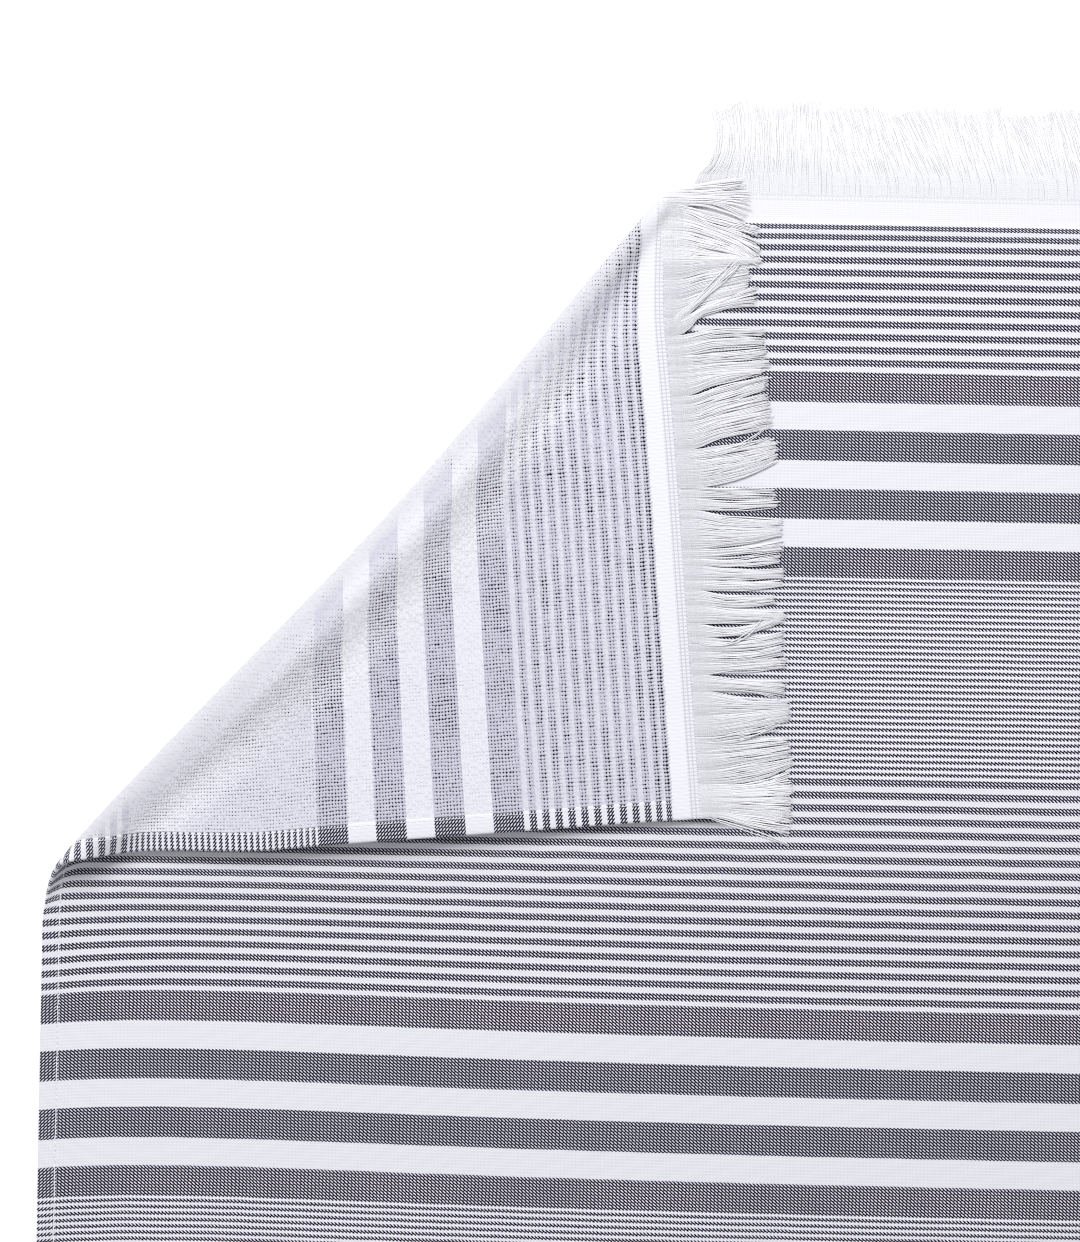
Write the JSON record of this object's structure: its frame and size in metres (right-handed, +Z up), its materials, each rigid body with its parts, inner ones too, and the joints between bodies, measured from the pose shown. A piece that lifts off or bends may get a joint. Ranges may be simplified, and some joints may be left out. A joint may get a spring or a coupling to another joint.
{
  "type": "beach towel",
  "caption": "Flat-woven striped beach towel with a looped terry back and fringed ends, lying flat with one corner folded over.",
  "frame": {"origin": "centre of the towel's rectangle on the surface that it lies on", "axes": "+Z up from the surface, +X across the towel's width, +Y along its length towards the end whose left corner is folded over"},
  "size_m": [1, 1.8125, 0.022],
  "materials": {
    "towel_cloth": "matte cotton, navy and white weft stripes, flat weave in front and terry loops at the back",
    "fringe_yarn": "matte white cotton yarn"
  },
  "bodies": {
    "root": {"towel": "towel_cloth", "fringe_top": "fringe_yarn", "fringe_bottom": "fringe_yarn", "fringe_flap": "fringe_yarn"}
  },
  "joints": []
}
